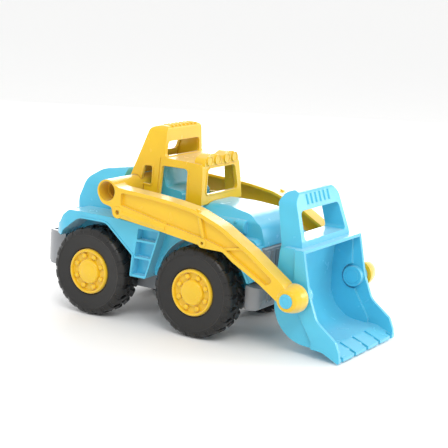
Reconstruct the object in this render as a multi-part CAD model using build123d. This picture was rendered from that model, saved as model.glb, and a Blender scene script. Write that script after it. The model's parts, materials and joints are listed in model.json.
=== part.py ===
from build123d import *
from math import atan2, cos, degrees, hypot, radians, sin
import os

os.makedirs("parts", exist_ok=True)

# Driving dimensions, in millimetres. +X is the front, +Z is up, and the truck is
# mirrored about the XZ plane. Profiles are drawn from the middle of the wheelbase,
# with the ground at Z = 0. write() moves them so that the origin is on the ground
# under the middle of the overall length.
wheelbase = 114.2
tyre_diameter = 82.0
tyre_width = 29.0
tyre_outer_y = 70.5
hub_rim_radius = 21.0
axle_radius = 2.5
axle_bore_radius = 2.58
wall = 2.4
lip_height = 0.8
lip_width = 1.8

overall_rear = -129.4
overall_front = 196.6

rear_fender_half = 64.0
front_fender_half = 53.0
chassis_half = 38.0
arch_gap = 6.0
step_depth = 8.0
step_levels = ((45.6, 60.6), (62.4, 76.2), (78.0, 88.0))

hood_half = 31.0
hump_half = 38.0
canister_y = 31.4
canister_z = 98.8
canister_radius = 6.2
cab_base_half = 34.0
cab_top_half = 28.0
cab_wall = 2.6
cab_base_z = 111.0
rim_width = 1.3
rim_height = 0.7
deck_half = 29.6

lift_x = -34.6
lift_z = 119.6
tube_radius = 10.5
tube_bore_radius = 8.9
saddle_radius = 10.9

arm_inner_y = 58.5
arm_outer_y = 74.2
arm_web_depth = 3.4
arm_wall = 2.6

pin_x = 155.0
pin_z = 52.3
pin_radius = 6.2
pin_bore_radius = 6.26
boss_radius_inner = 12.4
boss_radius_outer = 9.0

bucket_half = 53.5
bucket_wall = 2.6
tooth_count = 4
tooth_pitch = 23.4
slot_width = 3.8
tooth_root_x = 190.6
boss_disc_radius = 14.0

rear_axle_x = -wheelbase / 2
front_axle_x = wheelbase / 2
wheel_radius = tyre_diameter / 2
axle_z = wheel_radius
arch_radius = wheel_radius + arch_gap
tyre_inner_y = tyre_outer_y - tyre_width
origin_x = (overall_rear + overall_front) / 2


# ---- helpers ---------------------------------------------------------------------

def outline(points, inset=0):
    """A closed face from (u, v, corner radius) points, moved inward by inset."""
    count = len(points)
    area = sum(points[i - 1][0] * points[i][1] - points[i][0] * points[i - 1][1]
               for i in range(count))
    turn = 1 if area > 0 else -1
    corners = []
    radii = []
    for i, (u, v, radius) in enumerate(points):
        before = Vector(u - points[i - 1][0], v - points[i - 1][1]).normalized()
        after_point = points[(i + 1) % count]
        after = Vector(after_point[0] - u, after_point[1] - v).normalized()
        normal_before = Vector(-before.Y, before.X) * turn
        normal_after = Vector(-after.Y, after.X) * turn
        shift = (normal_before + normal_after) * (inset / (1 + normal_before.dot(normal_after)))
        corners.append((u + shift.X, v + shift.Y))
        convex = before.cross(after).Z * turn > 0
        inner_radius = radius - inset if convex else radius + inset
        if inset == 0:
            radii.append(radius)
        else:
            radii.append(inner_radius if radius > 0 and inner_radius >= 1 else 0)
    return make_face(FilletPolyline(*corners, radius=radii, close=True))


def along_y(face, y_low, y_high):
    """Extrude an (X, Z) face from y_low to y_high."""
    plane = Plane(origin=(0, y_high, 0), x_dir=(1, 0, 0), z_dir=(0, -1, 0))
    return extrude(plane * face, amount=y_high - y_low, dir=(0, -1, 0))


def along_x(face, x_low, x_high):
    """Extrude a (Y, Z) face from x_low to x_high."""
    plane = Plane(origin=(x_low, 0, 0), x_dir=(0, 1, 0), z_dir=(1, 0, 0))
    return extrude(plane * face, amount=x_high - x_low, dir=(1, 0, 0))


def along_z(face, z_low, z_high):
    """Extrude an (X, Y) face from z_low to z_high."""
    return extrude(Plane.XY.offset(z_low) * face, amount=z_high - z_low, dir=(0, 0, 1))


def block(x_low, x_high, y_low, y_high, z_low, z_high):
    """A box between two corners."""
    centre = Pos((x_low + x_high) / 2, (y_low + y_high) / 2, (z_low + z_high) / 2)
    return centre * Box(x_high - x_low, y_high - y_low, z_high - z_low)


def rod(x, z, radius, y_low, y_high):
    """A round bar along Y."""
    place = Pos(x, (y_low + y_high) / 2, z) * Rot(90, 0, 0)
    return place * Cylinder(radius, y_high - y_low)


def turned(points, x, z):
    """Revolve an outline of (radius, y) points about a line along Y through (x, z)."""
    face = make_face(Polyline(*points, close=True))
    solid = revolve(Plane.XY * face, axis=Axis.Y)
    return Pos(x, 0, z) * solid


def mirrored(shape):
    """The same shape on the other side of the truck."""
    return mirror(shape, about=Plane.XZ)


def both_sides(shape):
    """The shape together with its mirror image."""
    return joined(shape.solids() + mirrored(shape).solids())


def joined(solids):
    """One part fused from a list of solids."""
    return Part() + list(solids)


def write(shape, name):
    moved = Pos(-origin_x, 0, 0) * shape
    solids = moved.solids()
    result = solids[0] if len(solids) == 1 else Compound(children=list(solids))
    export_step(result, f"parts/{name}.step")


# ---- body shell ------------------------------------------------------------------

rear_fender_side = [
    (-96, 69, 0), (-109, 70, 1.5), (-109, 76.5, 2), (-98, 80.5, 3), (-92.5, 88.5, 5),
    (-85, 94.5, 8), (-30, 94, 4), (18.5, 90.3, 3), (3.6, 43.4, 1.5), (-13.4, 43.4, 1.5),
    (-12, 60, 0),
]
rear_arch_side = [
    (-106, 10, 0), (-106, 50, 6), (-92, 74, 10), (-74, 88.2, 14), (-42, 88.2, 12),
    (-11.6, 63, 2), (-13.6, 42, 0), (-13.6, 10, 0),
]
front_fender_side = [
    (6, 46, 0), (6, 90, 3), (30, 90, 6), (62, 92, 20), (108, 84, 5), (107, 55, 3),
    (98, 53, 0),
]
spine_side = [
    (-106, 44, 0), (-106, 74, 3), (-96, 92, 4), (104, 90, 6), (104, 53.5, 0),
    (99, 53.5, 0), (99, 44, 0),
]
hump_side = [
    (-103, 80, 0), (-99.3, 94, 4), (-88.5, 121, 14), (-75, 130, 16), (-49, 134, 3),
    (-49, 80, 0),
]
hood_side = [
    (30, 80, 0), (30, 114.5, 0), (62, 113, 30), (88, 109.5, 22), (102, 101, 9),
    (107, 84, 3), (107, 74, 0),
]
hood_front = [
    (-hood_half, 74, 0), (-hood_half, 104, 5), (-hood_half + 8, 112.5, 12),
    (0, 116, 60), (hood_half - 8, 112.5, 12), (hood_half, 104, 5), (hood_half, 74, 0),
]


def plan_form(half, corner, inset):
    """The body seen from above: a rectangle with round rear and front corners."""
    points = [
        (-109, -half, corner), (108, -half, 12), (108, half, 12), (-109, half, corner),
    ]
    return along_z(outline(points, inset), 20, 150)


def arches(inset):
    """The four wheel wells, from the chassis side outward."""
    inner_y = chassis_half + 0.8 - inset
    front = rod(front_axle_x, axle_z, arch_radius + inset, inner_y, 90)
    front += block(front_axle_x - arch_radius - inset, front_axle_x + arch_radius + inset,
                   inner_y, 90, 10, axle_z)
    rear = along_y(outline(rear_arch_side, -inset), inner_y, 90)
    return both_sides(front + rear)


def arch_lips():
    """The raised edges round the wheel wells."""
    rear = outline(rear_fender_side) & outline(rear_arch_side, -lip_width)
    rear = along_y(rear, rear_fender_half - wall, rear_fender_half + lip_height)
    rear &= plan_form(rear_fender_half + lip_height, 22 + lip_height, 0)
    ring = Pos(front_axle_x, axle_z) * Circle(arch_radius + lip_width)
    front = outline(front_fender_side) & ring
    front = along_y(front, front_fender_half - wall, front_fender_half + lip_height)
    front &= plan_form(front_fender_half + lip_height, 14 + lip_height, 0)
    return both_sides(rear + front) - arches(0)


def body_form(inset):
    """The outside of the body, or its hollow when inset is the wall thickness."""
    rear = along_y(outline(rear_fender_side, inset),
                   -rear_fender_half + inset, rear_fender_half - inset)
    rear &= plan_form(rear_fender_half, 22, inset)
    front = along_y(outline(front_fender_side, inset),
                    -front_fender_half + inset, front_fender_half - inset)
    front &= plan_form(front_fender_half, 14, inset)
    spine = along_y(outline(spine_side, inset),
                    -chassis_half - 2 + inset, chassis_half + 2 - inset)
    lower = (rear + front + spine) - arches(inset)
    hump = along_y(outline(hump_side, inset), -hump_half - 5, hump_half + 5)
    hump_plan = [(-103, -hump_half, 16), (-49, -hump_half, 3), (-49, hump_half, 3),
                 (-103, hump_half, 16)]
    hump &= along_z(outline(hump_plan, inset), 70, 140)
    hump_end = [(-hump_half, 60, 0), (-hump_half + 4, 118, 16), (-hump_half + 14, 134, 14),
                (hump_half - 14, 134, 14), (hump_half - 4, 118, 16), (hump_half, 60, 0)]
    hump &= along_x(outline(hump_end, inset), -110, -40)
    hood = along_y(outline(hood_side, inset), -hood_half - 5, hood_half + 5)
    hood &= along_x(outline(hood_front, inset), 20, 110)
    return lower + hump + hood


def seat_block():
    """The bulkhead and seat that stand inside the cab, open underneath."""
    side = [(-21, 80, 0), (-21, 141, 3), (-10, 141, 3), (-6, 121, 4), (12, 119, 4),
            (12, 80, 0)]
    outer = along_y(outline(side), -23, 23)
    inner = along_y(outline(side, wall), -23 + wall, 23 - wall)
    return outer - inner - block(-21 + wall, 12 - wall, -20.6, 20.6, 70, 90)


def ladder_plug():
    """The thick panel under each door that the steps are hollowed from."""
    panel = outline([(-15, 42, 0), (3.6, 43.4, 0), (18.5, 90.3, 0), (-6.4, 93, 0)])
    return both_sides(along_y(panel, rear_fender_half - step_depth - wall, rear_fender_half))


def ladder_recesses():
    """The three deep openings between a ladder's rails and treads."""
    pockets = None
    for z_low, z_high in step_levels:
        corners = []
        for z in (z_low, z_high):
            left = -11.6 + (z - 43.4) * 0.125
            right = 2.0 + (z - 43.4) * 0.318
            corners.append(((left, z, 1), (right, z, 1)))
        (low_left, low_right), (high_left, high_right) = corners
        pocket = along_y(outline([low_left, low_right, high_right, high_left]),
                         rear_fender_half - step_depth, rear_fender_half + 1)
        pockets = pocket if pockets is None else pockets + pocket
    return both_sides(pockets)


def hood_canisters():
    """The round housings along the hood's sides, each with two vent buttons."""
    can = Pos(66, canister_y, canister_z) * Rot(0, 90, 0) * Cylinder(canister_radius, 44)
    can = fillet(can.edges().filter_by(GeomType.CIRCLE), 1.2)
    for x in (70, 79):
        can += Pos(x, canister_y + 4.2, canister_z + 3.8) * Sphere(2.4)
    return both_sides(can)


def body_shell():
    solid = body_form(0)
    deck = along_y(outline([(-50, 84, 0), (-50, 113.5, 2), (39, 110, 1), (39, 84, 0)]),
                   -deck_half, deck_half)
    solid += deck
    hollow = body_form(wall)
    hollow += along_y(outline([(-48, 80, 0), (-48, 106, 0), (36.6, 106, 0), (36.6, 80, 0)]),
                      -deck_half + wall, deck_half - wall)
    opening = block(-106, 102, -chassis_half - 0.3, chassis_half + 0.3, 30, 60)
    solid = solid - hollow - opening
    form = body_form(0)
    solid += seat_block()
    solid += ladder_plug() & form
    solid += arch_lips()
    solid += hood_canisters() - body_form(wall)
    seat_of_cab = block(-48.5, 41.2, -37, 37, cab_base_z - 0.4, 150)
    seat_of_cab -= block(-36.5, 36.6, -deck_half, deck_half, 100, 150)
    solid -= seat_of_cab
    solid -= block(104.5, 112, -36.4, 36.4, 50, 83.4)
    solid -= rod(lift_x, lift_z, saddle_radius, -60, 60)
    solid -= ladder_recesses()
    for x in (-80, 80):
        post = (Pos(x, 0, 93) * Cylinder(3.6, 94)) & form
        post -= Pos(x, 0, 50) * Cylinder(1.25, 16)
        solid += post
    return solid


# ---- chassis ---------------------------------------------------------------------

def bumper_solid(side_points, x_low, x_high, half, corner):
    """A bumper block with round outer corners in plan."""
    bar = along_y(outline(side_points), -half, half)
    if x_low < 0:
        plan = [(x_low, -half, corner), (x_high + 1, -half, 0), (x_high + 1, half, 0),
                (x_low, half, corner)]
    else:
        plan = [(x_low - 1, -half, 0), (x_high, -half, corner), (x_high, half, corner),
                (x_low - 1, half, 0)]
    return bar & along_z(outline(plan), 0, 100)


def chassis():
    tray = along_y(outline([(-104, 28, 3), (-104, 46, 0), (103, 46, 0), (103, 28, 3)]),
                   -chassis_half, chassis_half)
    tray -= block(-101, 99, -chassis_half + wall, chassis_half - wall, 28 + wall, 60)
    rear = [(-99.6, 37, 1), (-118, 36, 3), (-130, 41, 3), (-120.5, 68.6, 2), (-99.6, 68.6, 1)]
    tray += bumper_solid(rear, -130, -99.6, 50, 22)
    tray -= block(-118, -99, -46, 46, 40, 80)
    front = [(99.8, 30, 1), (112, 30, 3), (113.5, 49, 3), (99.8, 52, 1)]
    tray += bumper_solid(front, 99.8, 113.5, 49, 12)
    for y in (-30, 30):
        lamp = Pos(113.0, y, 41) * Rot(0, 90, 0) * Cylinder(5, 2.4)
        lamp -= Pos(114.2, y, 41) * Rot(0, 90, 0) * Cylinder(3.8, 1)
        tray += lamp
    for x in (rear_axle_x, front_axle_x):
        for y in (-26, 26):
            tray += block(x - 7, x + 7, y - 2, y + 2, 29, 46)
        tray -= rod(x, axle_z, axle_bore_radius, -chassis_half - 1, chassis_half + 1)
    for x in (-80, 80):
        tray += Pos(x, 0, 37) * Cylinder(5, 17)
        tray -= Pos(x, 0, 37) * Cylinder(1.7, 30)
        tray -= Pos(x, 0, 29.5) * Cylinder(3.6, 3.4)
    return tray


def front_grille():
    plate = along_y(outline([(104.6, 53, 0.5), (110, 53, 1), (110.5, 83, 1), (104.6, 83, 0.5)]),
                    -36, 36)
    ribs = None
    for i in range(9):
        y = (i - 4) * 8
        rib = Pos(110.3, y, 68) * Cylinder(2.4, 26)
        ribs = rib if ribs is None else ribs + rib
    return plate + ribs


def chassis_screws():
    screws = []
    for x in (-80, 80):
        shank = Pos(x, 0, 41) * Cylinder(1.2, 22)
        head = Pos(x, 0, 29.2) * Cylinder(3.2, 2.2)
        head -= Pos(x, 0, 28.4) * (Box(4, 0.9, 1.2) + Box(0.9, 4, 1.2))
        screws.append(shank + head)
    return Compound(children=[s.solids()[0] for s in screws])


# ---- cab -------------------------------------------------------------------------

cab_side = [
    (-46, 111, 1), (-40.5, 126, 0), (-22, 175, 7), (-13, 177.5, 6), (-3.5, 177, 3),
    (-3.5, 149.5, 3), (38, 147.5, 4), (39.5, 128, 20), (40.5, 111, 1),
]
cab_front = [
    (-cab_base_half, 100, 0), (-cab_base_half, 114, 0), (-cab_top_half, 177.5, 7),
    (cab_top_half, 177.5, 7), (cab_base_half, 114, 0), (cab_base_half, 100, 0),
]


def cab_form(inset):
    side = along_y(outline(cab_side, inset), -50, 50)
    return side & along_x(outline(cab_front, inset), -60, 60)


def light_bar():
    """Two humps over the windshield, each with a pair of round lamps."""
    bar = None
    for y in (-14.2, 14.2):
        face = outline([(y - 13.8, 145.5, 0), (y - 13.8, 152, 5), (y, 157.5, 14),
                        (y + 13.8, 152, 5), (y + 13.8, 145.5, 0)])
        hump = along_x(face, 27.5, 38.5)
        for shift in (-6.4, 6.4):
            lamp = Pos(38.6, y + shift, 150.3) * Rot(0, 90, 0) * Cylinder(4.6, 2.4)
            lamp -= Pos(39.9, y + shift, 150.3) * Rot(0, 90, 0) * Cylinder(3.7, 1.2)
            hump += lamp
        bar = hump if bar is None else bar + hump
    return bar


def cab():
    solid = cab_form(0)
    hollow = cab_form(cab_wall)
    hollow += block(-37, 37.5, -cab_base_half + cab_wall + 1.2, cab_base_half - cab_wall - 1.2,
                    100, 116)
    solid -= hollow
    bar = along_y(outline([(-30, 163, 0), (-30, 180, 0), (0, 180, 0), (0, 163, 0)]), -40, 40)
    solid += bar & cab_form(0)
    solid += light_bar()
    # hand opening, side windows, doors and windshield
    solid -= along_x(outline([(-26.5, 150.2, 3), (-25, 163.5, 4), (25, 163.5, 4),
                              (26.5, 150.2, 3)]), -60, 10)
    rear_window = [(-27.5, 124, 2), (-24, 140, 2), (-15.5, 140.5, 2), (-15, 123.5, 2)]
    door = [(-5.5, 112.8, 2.5), (-4.7, 142, 2.5), (23, 142, 3.5), (24, 112.8, 2.5)]
    windshield = [(-26.5, 120.5, 3), (-22, 143.2, 4), (22, 143.2, 4), (26.5, 120.5, 3)]
    rims = along_x(outline(windshield, -rim_width), 30, 60)
    for points in (rear_window, door):
        rims += along_y(outline(points, -rim_width), -50, 50)
    solid += (rims & cab_form(-rim_height)) - hollow
    for points in (rear_window, door):
        solid -= along_y(outline(points), -50, 50)
    solid -= along_x(outline(windshield), 20, 60)
    # the joint line between the handle's legs and the cabin
    leg_line = along_y(outline([(-9.0, 112, 0), (-8.0, 149, 0), (-7.1, 149, 0),
                                (-8.1, 112, 0)]), -50, 50)
    solid -= leg_line - cab_form(rim_height)
    # the slots that drop over the cross tube
    solid -= rod(lift_x, lift_z, saddle_radius, -60, 60)
    solid -= block(lift_x - saddle_radius, lift_x + saddle_radius, -60, 60, 90, lift_z)
    # grip ridges over the handle bar
    for i in range(7):
        ridge = Pos(-8.5, (i - 3) * 6.2, 177.2) * Rot(0, 90, 0) * Cylinder(1.0, 11)
        solid += ridge
    return max(solid.solids(), key=lambda s: s.volume)


# ---- loader arms -----------------------------------------------------------------

arm_side = [
    (-45.1, 119.6, 10.45), (-34.6, 130.2, 10), (-22, 124.3, 8), (12, 122, 0), (36, 119.8, 30),
    (60, 116, 40), (88, 105.5, 40), (118, 88, 0), (150, 65.5, 0), (160, 52, 6),
    (146, 50, 4), (128, 61.9, 0), (101, 76.2, 14), (90, 83.8, 6), (70, 84, 3),
    (66, 86, 1), (25, 91.8, 0), (-18, 97, 2), (-27, 97.5, 4), (-29, 106, 3),
    (-41, 108.5, 8),
]
arm_recess = [
    (-19, 120.2, 2), (12, 118.8, 0), (36, 116.6, 30), (60, 112.6, 40), (86, 102.3, 40),
    (116, 84.8, 0), (142, 66.5, 3), (134, 62, 2), (103, 79, 14), (91, 86.8, 6),
    (72, 91.8, 4), (30, 98.9, 0), (-19, 108.8, 2),
]


def arm_boss(y_in, y_out):
    """The barrel-shaped eye at the bucket end."""
    middle = (y_in + y_out) / 2
    points = [(0, y_in), (boss_radius_inner, y_in), (boss_radius_inner, y_in + 3.5),
              (boss_radius_inner - 1, middle + 1), (boss_radius_outer + 0.6, y_out - 1.5),
              (boss_radius_outer - 0.6, y_out), (0, y_out)]
    return turned(points, pin_x, pin_z)


def ram_relief():
    """The moulded ram along the arm's lower edge: cylinder, rod and two eyes."""
    start = (-21.9, 102.0)
    step = (30.0, 95.3)
    end = (69.2, 88.2)
    y_face = arm_outer_y - arm_web_depth
    relief = None
    for a, b, radius in ((start, step, 4.3), (step, end, 2.3)):
        length = hypot(b[0] - a[0], b[1] - a[1])
        angle = degrees(atan2(b[1] - a[1], b[0] - a[0]))
        bar = Pos((a[0] + b[0]) / 2, y_face, (a[1] + b[1]) / 2)
        bar *= Rot(0, 90 - angle, 0)
        solid = bar * Cylinder(radius, length)
        relief = solid if relief is None else relief + solid
    for centre, radius in ((start, 5.4), (end, 4.0)):
        relief += rod(centre[0], centre[1], radius, y_face - 3, arm_outer_y + 0.6)
    return relief


def arm_left():
    """The arm on the +Y side, with a spigot that plugs into the cross tube."""
    solid = along_y(outline(arm_side), arm_inner_y, arm_outer_y)
    solid += rod(lift_x, lift_z, tube_radius, arm_inner_y, arm_outer_y)
    solid += arm_boss(arm_inner_y, arm_outer_y + 1.2)
    solid -= along_y(outline(arm_recess), arm_outer_y - arm_web_depth, arm_outer_y + 5)
    rib = [(61, 117, 0), (64.2, 116, 0), (71.5, 90, 0), (68.3, 90, 0)]
    solid += along_y(outline(rib), arm_outer_y - 4, arm_outer_y - 1.0)
    spar = [(88, 84.5, 0), (88, 86.5, 0), (113, 91, 0), (114, 89, 0)]
    solid += along_y(outline(spar), arm_outer_y - 4, arm_outer_y - 1.4)
    solid += ram_relief()
    back = along_y(outline(arm_side, arm_wall), arm_inner_y - 1,
                   arm_outer_y - arm_web_depth - arm_wall)
    back -= rod(lift_x, lift_z, tube_radius + 0.1, 0, 90)
    back -= rod(pin_x, pin_z, boss_radius_inner, 0, 90)
    solid -= back
    spigot = rod(lift_x, lift_z, tube_bore_radius - 0.02, arm_inner_y - 12, arm_inner_y + 2)
    solid += spigot
    solid -= rod(lift_x, lift_z, tube_bore_radius - 1.3, 0, 90)
    solid -= rod(lift_x, lift_z, tube_bore_radius, arm_inner_y + 2, 90)
    solid -= rod(-21.9, 102.0, 2.2, arm_outer_y - 6, arm_outer_y + 5)
    solid -= rod(69.2, 88.2, 1.4, arm_outer_y - 4, arm_outer_y + 5)
    solid -= rod(pin_x, pin_z, pin_bore_radius, 0, 90)
    return max(solid.solids(), key=lambda s: s.volume)


def cross_tube():
    tube = rod(lift_x, lift_z, tube_radius, -arm_inner_y, arm_inner_y)
    return tube - rod(lift_x, lift_z, tube_bore_radius, -90, 90)


# ---- bucket ----------------------------------------------------------------------

bucket_side = [
    (157, 91.5, 1), (133, 91.5, 5), (129.8, 60, 60), (130.5, 11.5, 33), (180, 8.3, 12),
    (195.4, 1.0, 0), (196.6, 1.6, 0), (196.6, 4.4, 0), (195.8, 10, 3), (192, 19, 5),
    (173, 33.5, 14), (164.5, 55, 40),
]
bucket_inside = [
    (170, 88.9, 0), (135.8, 88.9, 4), (132.5, 60, 60), (133.2, 14.2, 30), (181, 11.0, 12),
    (200, 3.2, 0), (230, 3.2, 0), (230, 88.9, 0),
]
behind_band = [
    (151, 100, 0), (100, 100, 0), (100, -20, 0), (172, -20, 0), (172, 16, 0),
    (157, 40, 6), (152.5, 66, 8),
]


def bucket_handle():
    """The arch on top of the bucket: two legs and a grip bar, open front to back."""
    side = [(129, 86, 0), (130, 92, 0), (122.3, 127, 4), (124.5, 135, 5), (131, 137.5, 5),
            (137.2, 135.5, 3), (149.5, 96, 2), (151, 86, 0)]
    front = [(-44, 80, 0), (-43.5, 92, 0), (-38.5, 129, 9), (-28, 137.5, 10),
             (28, 137.5, 10), (38.5, 129, 9), (43.5, 92, 0), (44, 80, 0)]
    arch = along_y(outline(side), -50, 50) & along_x(outline(front), 100, 170)
    gap = outline([(-37, 96.5, 3), (-34, 121, 5), (34, 121, 5), (37, 96.5, 3)])
    arch -= along_x(gap, 100, 170)
    for i in range(6):
        arch += Pos(138.9, (i - 2.5) * 7.6, 129.4) * Rot(0, -17, 0) * Cylinder(1.5, 9)
    return arch


def bucket_walls():
    """The scoop: a bent sheet, and side walls stepped in behind the mouth band."""
    outer = outline(bucket_side)
    hollow = outline(bucket_inside)
    pin_disc = Pos(pin_x, pin_z) * Circle(boss_disc_radius)
    pocket_disc = Pos(pin_x, pin_z) * Circle(boss_disc_radius - bucket_wall)
    pocket = hollow & (pocket_disc + (outer - outline(behind_band)))
    band = (outer - outline(behind_band, bucket_wall + 0.2)) + (pin_disc & outer)
    step_y = bucket_half - 3.4
    plate_y = step_y - 2.8
    sheet = along_y(outer - hollow, -plate_y, plate_y)
    plate = along_y(outer - pocket, plate_y, step_y)
    rim = along_y(band, step_y, bucket_half)
    bush = rod(pin_x, pin_z, 9.2, plate_y - 2.5, bucket_half + 4)
    side = plate + rim + bush
    return sheet + side + mirrored(side)


def teeth_cuts():
    """The notches between the teeth, and the wedge-shaped grooves that run back from them."""
    groove = outline([(180.8, 9.2, 0), (192.5, 6.1, 0), (192.5, 14, 0), (180.8, 14, 0)])
    cuts = None
    for i in range(tooth_count + 1):
        y = (i - tooth_count / 2) * tooth_pitch
        cut = block(tooth_root_x, 200, y - slot_width / 2, y + slot_width / 2, -2, 20)
        if 0 < i < tooth_count:
            cut += along_y(groove, y - slot_width / 2, y + slot_width / 2)
        cuts = cut if cuts is None else cuts + cut
    return cuts


def bucket():
    solid = bucket_walls() - teeth_cuts()
    solid = solid + bucket_handle()
    solid -= both_sides(rod(pin_x, pin_z, pin_radius, 40, 90))
    return max(solid.solids(), key=lambda s: s.volume)


def bucket_pin_left():
    """The pin through the arm's eye, with a domed, ringed outer end."""
    y_in = bucket_half - 9
    y_out = arm_outer_y + 1.4
    points = [(0, y_in), (pin_radius, y_in), (pin_radius, y_out), (pin_radius - 0.8, y_out + 0.9),
              (pin_radius - 2.0, y_out + 0.9), (pin_radius - 2.4, y_out + 0.4),
              (0, y_out + 0.4)]
    return turned(points, pin_x, pin_z)


# ---- wheels ----------------------------------------------------------------------

def tyre(x):
    """A plain-sided tyre with shoulder lugs, on the +Y side."""
    y_in = tyre_inner_y
    y_out = tyre_outer_y
    rim = hub_rim_radius
    points = [(rim, y_in + 1), (rim + 3, y_in), (wheel_radius - 4.5, y_in),
              (wheel_radius - 1.4, y_in + 3), (wheel_radius - 1.4, y_out - 3),
              (wheel_radius - 4.5, y_out), (rim + 3, y_out), (rim, y_out - 1)]
    solid = turned(points, x, axle_z)
    lug_ring = turned([(wheel_radius - 3, y_in + 3.4), (wheel_radius, y_in + 3.4),
                       (wheel_radius, y_out - 3.4), (wheel_radius - 3, y_out - 3.4)],
                      x, axle_z)
    gaps = None
    lug_count = 24
    for i in range(lug_count):
        for side, phase in ((-1, 0), (1, 0.5)):
            angle = (i + phase) * 360 / lug_count
            y_mid = (y_in + y_out) / 2 + side * tyre_width * 0.25
            gap = Rot(0, angle, 0) * Pos(0, y_mid, wheel_radius)
            gap = gap * Rot(0, 0, side * 18) * Box(3.6, tyre_width * 0.46, 2.8)
            gaps = gap if gaps is None else gaps + gap
    return solid + (lug_ring - Pos(x, 0, axle_z) * gaps)


def hub(x):
    """A dished hub with a raised rim, eight bolt heads and a round centre boss."""
    rim = hub_rim_radius
    y_out = tyre_outer_y - 0.4
    points = [(0, tyre_inner_y + 4), (rim - 6, tyre_inner_y + 4), (rim - 0.02, tyre_inner_y + 1.4),
              (rim - 0.02, y_out - 0.8), (rim - 1.2, y_out), (rim - 3.0, y_out),
              (rim - 4.0, y_out - 2.6), (11.4, y_out - 2.6), (11.0, y_out - 0.6),
              (9.8, y_out + 0.2), (0, y_out + 0.2)]
    solid = turned(points, x, axle_z)
    for i in range(8):
        angle = radians(i * 45 + 22.5)
        solid += rod(x + 14.2 * cos(angle), axle_z + 14.2 * sin(angle), 2.2,
                     y_out - 4, y_out - 0.9)
    return solid - rod(x, axle_z, axle_radius - 0.01, 0, tyre_outer_y - 6)


def axle(x):
    return rod(x, axle_z, axle_radius, -tyre_outer_y + 6, tyre_outer_y - 6)


# ---- write every node ------------------------------------------------------------

left_arm = arm_left()
left_pin = bucket_pin_left()
nodes = {
    "body_shell": body_shell(),
    "chassis": chassis(),
    "front_grille": front_grille(),
    "chassis_screws": chassis_screws(),
    "cab": cab(),
    "arm_left": left_arm,
    "arm_right": mirrored(left_arm),
    "cross_tube": cross_tube(),
    "bucket": bucket(),
    "bucket_pin_left": left_pin,
    "bucket_pin_right": mirrored(left_pin),
}
for end, x in (("front", front_axle_x), ("rear", rear_axle_x)):
    left_tyre = tyre(x)
    left_hub = hub(x)
    nodes[f"{end}_axle"] = axle(x)
    nodes[f"tyre_{end}_left"] = left_tyre
    nodes[f"tyre_{end}_right"] = mirrored(left_tyre)
    nodes[f"hub_{end}_left"] = left_hub
    nodes[f"hub_{end}_right"] = mirrored(left_hub)

for name, shape in nodes.items():
    write(shape, name)
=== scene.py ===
from math import cos, radians, sin, tau
import json

import bmesh
import bpy
from mathutils import Matrix, Vector


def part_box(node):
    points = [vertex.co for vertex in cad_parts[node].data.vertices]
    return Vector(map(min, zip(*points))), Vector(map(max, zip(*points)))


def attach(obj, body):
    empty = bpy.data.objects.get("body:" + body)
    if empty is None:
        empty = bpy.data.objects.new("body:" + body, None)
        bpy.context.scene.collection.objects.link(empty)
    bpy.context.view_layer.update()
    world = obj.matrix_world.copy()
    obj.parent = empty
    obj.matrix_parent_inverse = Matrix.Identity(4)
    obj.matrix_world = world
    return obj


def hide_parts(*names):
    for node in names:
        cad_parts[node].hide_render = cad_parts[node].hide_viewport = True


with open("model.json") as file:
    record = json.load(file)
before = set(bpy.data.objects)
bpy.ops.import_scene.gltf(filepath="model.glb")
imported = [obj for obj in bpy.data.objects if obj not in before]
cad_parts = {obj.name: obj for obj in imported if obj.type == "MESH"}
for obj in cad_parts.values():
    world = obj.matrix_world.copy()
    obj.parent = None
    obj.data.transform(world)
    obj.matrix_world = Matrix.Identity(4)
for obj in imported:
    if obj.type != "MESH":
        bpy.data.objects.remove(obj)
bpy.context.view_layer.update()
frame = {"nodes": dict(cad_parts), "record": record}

MM = 0.001

# ---- places read from the frame --------------------------------------------------

TYRES = {f"{end}_{side}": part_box(f"tyre_{end}_{side}")
         for end in ("front", "rear") for side in ("left", "right")}
HUBS = {name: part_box(f"hub_{name}") for name in TYRES}


# ---- mesh helpers ----------------------------------------------------------------

def new_object(name, bm, smooth=True):
    """Turn a bmesh into an object with consistent normals."""
    bmesh.ops.remove_doubles(bm, verts=bm.verts, dist=1e-6)
    bmesh.ops.recalc_face_normals(bm, faces=bm.faces)
    mesh = bpy.data.meshes.new(name)
    bm.to_mesh(mesh)
    bm.free()
    for polygon in mesh.polygons:
        polygon.use_smooth = smooth
    piece = bpy.data.objects.new(name, mesh)
    bpy.context.scene.collection.objects.link(piece)
    return piece


def add_bevel(piece, width, segments, angle):
    """Round the edges that are sharper than an angle in degrees."""
    bevel = piece.modifiers.new("edge", "BEVEL")
    bevel.width = width
    bevel.segments = segments
    bevel.limit_method = "ANGLE"
    bevel.angle_limit = radians(angle)
    bevel.harden_normals = True


def lathe(bm, profile, steps, centre, outward):
    """Revolve (radius, offset) points about a line along Y; offset runs along outward."""
    rings = []
    for radius, offset in profile:
        y = centre.y + offset * outward
        if radius < 1e-7:
            rings.append([bm.verts.new((centre.x, y, centre.z))])
            continue
        ring = []
        for i in range(steps):
            angle = tau * i / steps
            ring.append(bm.verts.new((centre.x + radius * cos(angle), y,
                                      centre.z + radius * sin(angle))))
        rings.append(ring)
    for lower, upper in zip(rings, rings[1:]):
        for i in range(steps):
            j = (i + 1) % steps
            if len(lower) == 1 and len(upper) == 1:
                continue
            if len(lower) == 1:
                bm.faces.new((lower[0], upper[i], upper[j]))
            elif len(upper) == 1:
                bm.faces.new((lower[i], upper[0], lower[j]))
            else:
                bm.faces.new((lower[i], upper[i], upper[j], lower[j]))
    return rings


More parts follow.
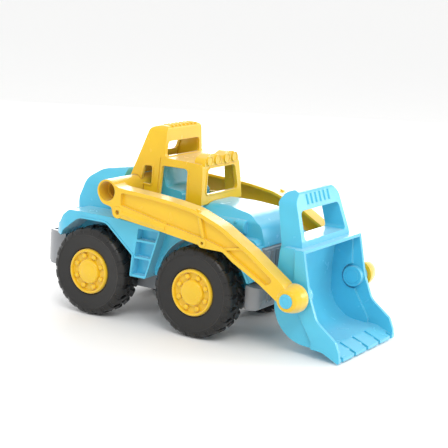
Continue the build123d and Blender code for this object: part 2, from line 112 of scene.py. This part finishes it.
def rounded(points, per_corner=4):
    """Soften a (radius, offset, corner) profile by short arcs at its corners."""
    result = []
    for i, (r, o, corner) in enumerate(points):
        here = Vector((r, o))
        if corner == 0 or i in (0, len(points) - 1):
            result.append((r, o))
            continue
        back = Vector(points[i - 1][:2]) - here
        ahead = Vector(points[i + 1][:2]) - here
        cut = min(corner, back.length * 0.48, ahead.length * 0.48)
        start = here + back.normalized() * cut
        end = here + ahead.normalized() * cut
        for k in range(per_corner + 1):
            t = k / per_corner
            point = start * (1 - t) ** 2 + here * 2 * t * (1 - t) + end * t ** 2
            result.append((point.x, point.y))
    return result


# ---- materials -------------------------------------------------------------------

def srgb(r, g, b):
    """Linear colour from 0-255 display values."""
    def linear(value):
        value /= 255
        return value / 12.92 if value <= 0.04045 else ((value + 0.055) / 1.055) ** 2.4

    return (linear(r), linear(g), linear(b), 1.0)


def shade(colour, factor):
    """The same colour, lighter or darker by a factor."""
    return tuple(min(channel * factor, 1.0) for channel in colour[:3]) + (1.0,)


def remap(tree, source, from_range, to_range):
    """A Map Range node that scales a value from one range to another."""
    node = tree.nodes.new("ShaderNodeMapRange")
    node.inputs["From Min"].default_value = from_range[0]
    node.inputs["From Max"].default_value = from_range[1]
    node.inputs["To Min"].default_value = to_range[0]
    node.inputs["To Max"].default_value = to_range[1]
    tree.links.new(source, node.inputs["Value"])
    return node.outputs["Result"]


def noise(tree, place, scale, detail, distortion=0.0):
    """A noise texture in the object's own coordinates."""
    node = tree.nodes.new("ShaderNodeTexNoise")
    node.inputs["Scale"].default_value = scale
    node.inputs["Detail"].default_value = detail
    node.inputs["Distortion"].default_value = distortion
    tree.links.new(place.outputs["Object"], node.inputs["Vector"])
    return node.outputs["Fac"]


def bump_from(tree, height, normal, strength, distance):
    """A bump node that adds a height to an earlier normal."""
    node = tree.nodes.new("ShaderNodeBump")
    node.inputs["Strength"].default_value = strength
    node.inputs["Distance"].default_value = distance
    tree.links.new(height, node.inputs["Height"])
    tree.links.new(normal, node.inputs["Normal"])
    return node.outputs["Normal"]


def mixed_colour(tree, factor, first, second):
    """A colour mix from a linked colour to a fixed one."""
    node = tree.nodes.new("ShaderNodeMix")
    node.data_type = "RGBA"
    node.inputs["B"].default_value = second
    tree.links.new(factor, node.inputs["Factor"])
    tree.links.new(first, node.inputs["A"])
    return node.outputs["Result"]


def two_tone(tree, factor, low, high, low_colour, high_colour):
    """A colour ramp from one colour at low to another at high."""
    node = tree.nodes.new("ShaderNodeValToRGB")
    first, last = node.color_ramp.elements
    first.position = low
    first.color = low_colour
    last.position = high
    last.color = high_colour
    tree.links.new(factor, node.inputs["Fac"])
    return node.outputs["Color"]


def sharp_edge_mask(tree, bevel):
    """How sharply the surface turns near an edge, as a mix factor."""
    geometry = tree.nodes.new("ShaderNodeNewGeometry")
    turn = tree.nodes.new("ShaderNodeVectorMath")
    turn.operation = "DOT_PRODUCT"
    tree.links.new(bevel.outputs["Normal"], turn.inputs[0])
    tree.links.new(geometry.outputs["Normal"], turn.inputs[1])
    return remap(tree, turn.outputs["Value"], (0.98, 0.80), (0.0, 0.55))


def moulded_plastic(name, colour, rough=(0.18, 0.28), bump=0.10, edge=0.7, sss=0.06,
                    edge_gain=1.25, specular=0.5, sheen=0.45, metallic=0.0):
    """Satin moulded plastic: cloudy colour, fine grain, soft flow marks and a lighter colour
    where the surface turns sharply at edges.

    The edge is a rounding radius in millimetres.
    """
    material = bpy.data.materials.new(name)
    material.use_nodes = True
    tree = material.node_tree
    tree.nodes.clear()
    output = tree.nodes.new("ShaderNodeOutputMaterial")
    shader = tree.nodes.new("ShaderNodeBsdfPrincipled")
    shader.inputs["IOR"].default_value = 1.5
    shader.inputs["Metallic"].default_value = metallic
    shader.inputs["Specular IOR Level"].default_value = specular
    shader.inputs["Subsurface Weight"].default_value = sss
    shader.inputs["Subsurface Scale"].default_value = 4 * MM
    shader.inputs["Sheen Weight"].default_value = sheen
    shader.inputs["Sheen Roughness"].default_value = 0.45
    tree.links.new(shader.outputs["BSDF"], output.inputs["Surface"])
    place = tree.nodes.new("ShaderNodeTexCoord")

    cloud = noise(tree, place, 34.0, 3.0)
    tint = two_tone(tree, cloud, 0.3, 0.72, shade(colour, 0.95), shade(colour, 1.04))
    speck = tree.nodes.new("ShaderNodeTexVoronoi")
    speck.inputs["Scale"].default_value = 620.0
    tree.links.new(place.outputs["Object"], speck.inputs["Vector"])
    speck_fade = remap(tree, speck.outputs["Distance"], (0.0, 0.10), (0.04, 0.0))
    speckled = mixed_colour(tree, speck_fade, tint, shade(colour, 0.75))
    bevel = tree.nodes.new("ShaderNodeBevel")
    bevel.samples = 6
    bevel.inputs["Radius"].default_value = edge * MM
    # lighter colour towards sharp edges, scaled by edge_gain
    edged = mixed_colour(tree, sharp_edge_mask(tree, bevel), speckled, shade(colour, edge_gain))
    tree.links.new(edged, shader.inputs["Base Color"])

    smear = noise(tree, place, 90.0, 4.0, 0.6)
    tree.links.new(remap(tree, smear, (0.3, 0.7), rough), shader.inputs["Roughness"])

    grain = noise(tree, place, 900.0, 2.0)
    grained = bump_from(tree, grain, bevel.outputs["Normal"], bump, 0.2 * MM)
    flowing = bump_from(tree, cloud, grained, 0.10, 1.5 * MM)
    tree.links.new(flowing, shader.inputs["Normal"])
    return material


BLUE = moulded_plastic("blue_plastic", (0.075, 0.50, 0.71, 1.0))
YELLOW = moulded_plastic("yellow_plastic", (0.80, 0.50, 0.006, 1.0), sss=0.08)
GREY = moulded_plastic("grey_plastic", srgb(140, 142, 146), sss=0.0)
TYRE = moulded_plastic("tyre_plastic", srgb(30, 29, 28), rough=(0.30, 0.44), bump=0.18, sss=0.0,
                       edge=0.4, edge_gain=1.6, specular=0.42, sheen=0.02)
STEEL = moulded_plastic("zinc_steel", srgb(190, 192, 196), rough=(0.25, 0.4), sss=0.0,
                        metallic=1.0)

SLOT_MATERIAL = {"blue_plastic": BLUE, "yellow_plastic": YELLOW, "grey_plastic": GREY,
                 "tyre": TYRE, "steel": STEEL}
for subpart in frame["record"]["subparts"]:
    node = frame["nodes"][subpart["node"]]
    node.data.materials.clear()
    node.data.materials.append(SLOT_MATERIAL[subpart["material_slot"]])


def finish_piece(piece, body, material, slot, *replaced):
    """Give a piece its material, its body and the nodes that it stands in for."""
    piece.data.materials.append(material)
    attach(piece, body)
    if replaced:
        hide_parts(*replaced)


# ---- camera, floor and light -----------------------------------------------------

CAMERA_AZIMUTH = radians(32.04)
CAMERA_ELEVATION = radians(11.42)
CAMERA_ROLL = radians(2.79)
CAMERA_DISTANCE = 1.2107
CAMERA_TARGET = Vector((0.0105, 0.0, 0.0906))
CAMERA_LENS_MM = 106.5
FLOOR_HALF_SIZE = 40


def add_camera():
    """The camera, turned round the target, raised and rolled a little."""
    backward = Vector((sin(CAMERA_AZIMUTH) * cos(CAMERA_ELEVATION),
                       -cos(CAMERA_AZIMUTH) * cos(CAMERA_ELEVATION), sin(CAMERA_ELEVATION)))
    level_right = Vector((cos(CAMERA_AZIMUTH), sin(CAMERA_AZIMUTH), 0))
    level_up = backward.cross(level_right)
    right = level_right * cos(CAMERA_ROLL) + level_up * sin(CAMERA_ROLL)
    up = level_up * cos(CAMERA_ROLL) - level_right * sin(CAMERA_ROLL)
    data = bpy.data.cameras.new("camera")
    data.sensor_width = 36.0
    data.lens = CAMERA_LENS_MM
    data.clip_end = 50
    camera = bpy.data.objects.new("camera", data)
    turn = Matrix((right, up, backward)).transposed().to_4x4()
    camera.matrix_world = Matrix.Translation(CAMERA_TARGET + backward * CAMERA_DISTANCE) @ turn
    bpy.context.scene.collection.objects.link(camera)
    bpy.context.scene.camera = camera



def add_floor():
    """A wide pale floor with the faint grain of paper."""
    bm = bmesh.new()
    bmesh.ops.create_grid(bm, x_segments=8, y_segments=8, size=FLOOR_HALF_SIZE)
    floor = new_object("floor", bm, smooth=False)
    material = bpy.data.materials.new("floor")
    material.use_nodes = True
    tree = material.node_tree
    shader = tree.nodes["Principled BSDF"]
    shader.inputs["Roughness"].default_value = 0.7
    shader.inputs["Specular IOR Level"].default_value = 0.1
    paper = tree.nodes.new("ShaderNodeTexNoise")
    paper.inputs["Scale"].default_value = 2500.0
    tint = two_tone(tree, paper.outputs["Fac"], 0.0, 1.0, (0.945, 0.945, 0.94, 1),
                    (0.965, 0.965, 0.96, 1))
    tree.links.new(tint, shader.inputs["Base Color"])
    floor.data.materials.append(material)


def add_world():
    """An even white studio around the toy."""
    world = bpy.data.worlds.new("studio")
    world.use_nodes = True
    background = world.node_tree.nodes["Background"]
    background.inputs["Color"].default_value = (1, 1, 1, 1)
    background.inputs["Strength"].default_value = 0.98
    bpy.context.scene.world = world
    bpy.context.scene.view_settings.view_transform = "Standard"


def softbox(name, place, aim, size, energy):
    """A rectangular light that the camera doesn't see, turned towards a point."""
    data = bpy.data.lights.new(name, "AREA")
    data.shape = "RECTANGLE"
    data.size = size
    data.size_y = size * 0.7
    data.energy = energy
    lamp = bpy.data.objects.new(name, data)
    direction = Vector(aim) - Vector(place)
    lamp.matrix_world = (Matrix.Translation(place)
                         @ direction.to_track_quat("-Z", "Y").to_matrix().to_4x4())
    lamp.visible_camera = False
    bpy.context.scene.collection.objects.link(lamp)


add_camera()
add_floor()
add_world()
softbox("key", (0.75, -0.95, 1.35), (0.0, 0, 0.08), 0.7, 9)
softbox("back", (-0.75, 1.25, 0.60), (0.0, 0, 0.1), 1.2, 15)
softbox("side", (1.10, 1.00, 0.50), (0.0, 0, 0.1), 0.8, 8)

# ---- wheels ----------------------------------------------------------------------

def wheel_measures(box):
    """The centre, the outward side (+1 or -1 along Y), the radius and the half width."""
    low, high = box
    centre = (Vector(low) + Vector(high)) / 2
    outward = 1 if centre.y > 0 else -1
    return centre, outward, (high[0] - low[0]) / 2, (high[1] - low[1]) / 2


# ---- tyres -----------------------------------------------------------------------

TYRE_STEPS = 132
LUGS = 22
LUG_DEPTH = 2.2 * MM
LUG_ROOT = 4.5 * MM
LUG_TOP_WIDTH = 0.93
LUG_PHASE = {-1: 0.75, 1: 0.25}
TYRE_EDGE = 0.8 * MM
SIDE_DISC_DROP = 1.0 * MM


def add_lug(bm, centre, radius, half, side, turn_fraction):
    """One lug: a broad shoulder block that slants and narrows to the middle of the tread."""
    angle0 = tau * turn_fraction
    step = tau / LUGS
    # offset from the middle, lead and half width as parts of a pitch, drop below the top
    stations = [(half - 0.5 * MM, 0.0, 0.36, 5.4 * MM), (half - 1.4 * MM, 0.0, 0.37, 2.6 * MM),
                (half - 3.6 * MM, 0.0, 0.36, 0.7 * MM), (half - 6.5 * MM, 0.02, 0.34, 0.0),
                (half * 0.40, 0.12, 0.26, 0.0), (half * 0.04, 0.38, 0.20, 0.0)]
    root = radius - LUG_DEPTH - LUG_ROOT
    loops = []
    for offset, lead, width, drop in stations:
        y = centre.y + side * offset
        ring = []
        for sign, rise in ((-1, 0), (-1, 1), (1, 1), (1, 0)):
            angle = angle0 + step * (lead + sign * width * (LUG_TOP_WIDTH if rise else 1.0))
            r = radius - drop if rise else root
            ring.append(bm.verts.new((centre.x + r * cos(angle), y, centre.z + r * sin(angle))))
        loops.append(ring)
    for a, b in zip(loops, loops[1:]):
        for i in range(4):
            j = (i + 1) % 4
            bm.faces.new((a[i], a[j], b[j], b[i]))
    bm.faces.new(loops[0])
    bm.faces.new(loops[-1])


def tyre_piece(name):
    """A chunky toy tyre: a flat side disc inside a raised shoulder, and two rows of lugs."""
    centre, outward, radius, half = wheel_measures(TYRES[name])
    rim = (HUBS[name][1][0] - HUBS[name][0][0]) / 2
    tread = radius - LUG_DEPTH
    disc_radius = radius - 6.8 * MM
    profile = rounded([
        (rim, -half + 2 * MM, 0), (rim + 0.4 * MM, -half + 0.4 * MM, 0.6 * MM),
        (rim + 4 * MM, -half, 1.5 * MM), (tread - 4 * MM, -half + 0.4 * MM, 3 * MM),
        (tread, -half + 5 * MM, 5 * MM), (tread + 0.3 * MM, 0, 8 * MM),
        (tread, half - 9 * MM, 2 * MM), (radius - 1.1 * MM, half - 6.6 * MM, 2 * MM),
        (radius - 1.5 * MM, half - 3.2 * MM, 2 * MM),
        (disc_radius + 0.9 * MM, half - 0.5 * MM, 1.6 * MM),
        (disc_radius, half - 0.4 * MM, 0.4 * MM),
        (disc_radius - 0.5 * MM, half - SIDE_DISC_DROP, 0.4 * MM),
        (rim + 2.2 * MM, half - SIDE_DISC_DROP - 0.9 * MM, 2 * MM),
        (rim + 0.5 * MM, half - SIDE_DISC_DROP - 1.7 * MM, 0.8 * MM),
        (rim, half - 4 * MM, 0)], 5)
    bm = bmesh.new()
    rings = lathe(bm, profile, TYRE_STEPS, centre, outward)
    for i in range(TYRE_STEPS):
        j = (i + 1) % TYRE_STEPS
        bm.faces.new((rings[0][i], rings[0][j], rings[-1][j], rings[-1][i]))
    for side, phase in LUG_PHASE.items():
        for k in range(LUGS):
            add_lug(bm, centre, radius, half, side, (k + phase) / LUGS)
    piece = new_object(f"tyre_mesh_{name}", bm)
    add_bevel(piece, TYRE_EDGE, 3, 32)
    end = name.split("_")[0]
    finish_piece(piece, f"{end}_wheels", TYRE, "tyre", f"tyre_{name}")


# ---- hubs ------------------------------------------------------------------------

HUB_STEPS = 96
BOLT_STEPS = 20
BOLTS = 8
BOLT_CIRCLE = 14.9 * MM


def hub_piece(name):
    """A dished hub: round rim bead, eight domed bolts in a recess, and a centre boss."""
    centre, outward, radius, half = wheel_measures(HUBS[name])
    face = half - 0.3 * MM
    profile = rounded([
        (0, -half + 1 * MM, 0), (12 * MM, -half + 1 * MM, 1 * MM), (radius, -half, 2 * MM),
        (radius, face - 1.6 * MM, 0.8 * MM), (radius - 1.0 * MM, face, 1.0 * MM),
        (radius - 2.5 * MM, face - 0.1 * MM, 0.9 * MM),
        (radius - 3.1 * MM, face - 3.6 * MM, 0.9 * MM),
        (11.9 * MM, face - 3.8 * MM, 0.9 * MM), (11.1 * MM, face - 1.0 * MM, 1.0 * MM),
        (10.0 * MM, face - 0.3 * MM, 0.8 * MM), (8.6 * MM, face - 0.5 * MM, 0.8 * MM),
        (5 * MM, face + 0.1 * MM, 2 * MM), (0, face + 0.25 * MM, 0)], 5)
    bm = bmesh.new()
    lathe(bm, profile, HUB_STEPS, centre, outward)
    dome = rounded([(0, face - 5 * MM, 0), (2.5 * MM, face - 5 * MM, 0),
                    (2.4 * MM, face - 1.6 * MM, 0.8 * MM), (1.6 * MM, face - 0.9 * MM, 0.9 * MM),
                    (0, face - 0.6 * MM, 0)], 4)
    for k in range(BOLTS):
        angle = tau * (k + 0.5) / BOLTS
        bolt = Vector((centre.x + BOLT_CIRCLE * cos(angle), centre.y,
                       centre.z + BOLT_CIRCLE * sin(angle)))
        lathe(bm, dome, BOLT_STEPS, bolt, outward)
    piece = new_object(f"hub_mesh_{name}", bm)
    end = name.split("_")[0]
    finish_piece(piece, f"{end}_wheels", YELLOW, "yellow_plastic", f"hub_{name}")


for wheel_name in TYRES:
    tyre_piece(wheel_name)
    hub_piece(wheel_name)
